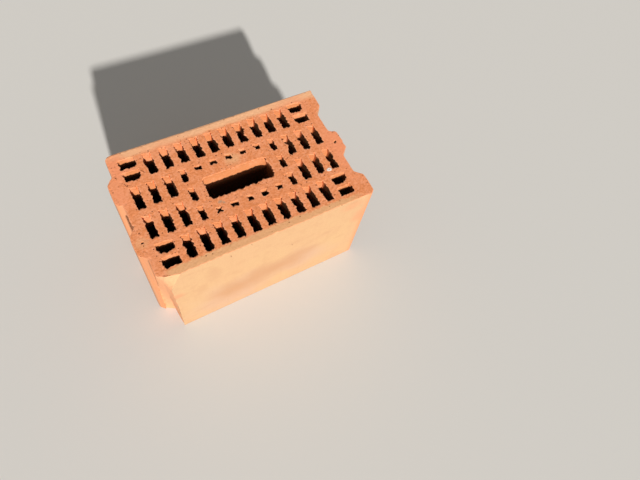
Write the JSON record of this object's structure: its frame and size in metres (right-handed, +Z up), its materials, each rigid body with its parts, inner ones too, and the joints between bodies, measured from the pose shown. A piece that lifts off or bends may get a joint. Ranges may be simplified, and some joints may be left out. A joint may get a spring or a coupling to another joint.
{
  "type": "perforated clay block",
  "caption": "Fired clay building block with upright perforations, a central hand grip, interlocking tongue-and-groove ends and a broken lower front corner.",
  "frame": {"origin": "middle of the block's outline on the ground, under its lower wire-cut bed", "axes": "+X along the wall towards the grooved end, +Y through the wall away from the front face, +Z up through the perforations"},
  "size_m": [0.385, 0.236, 0.236],
  "materials": {
    "fired_clay": "matte, pitted wire-cut beds and smooth extruded faces"
  },
  "bodies": {
    "root": {"clay_block": "fired_clay"}
  },
  "joints": []
}
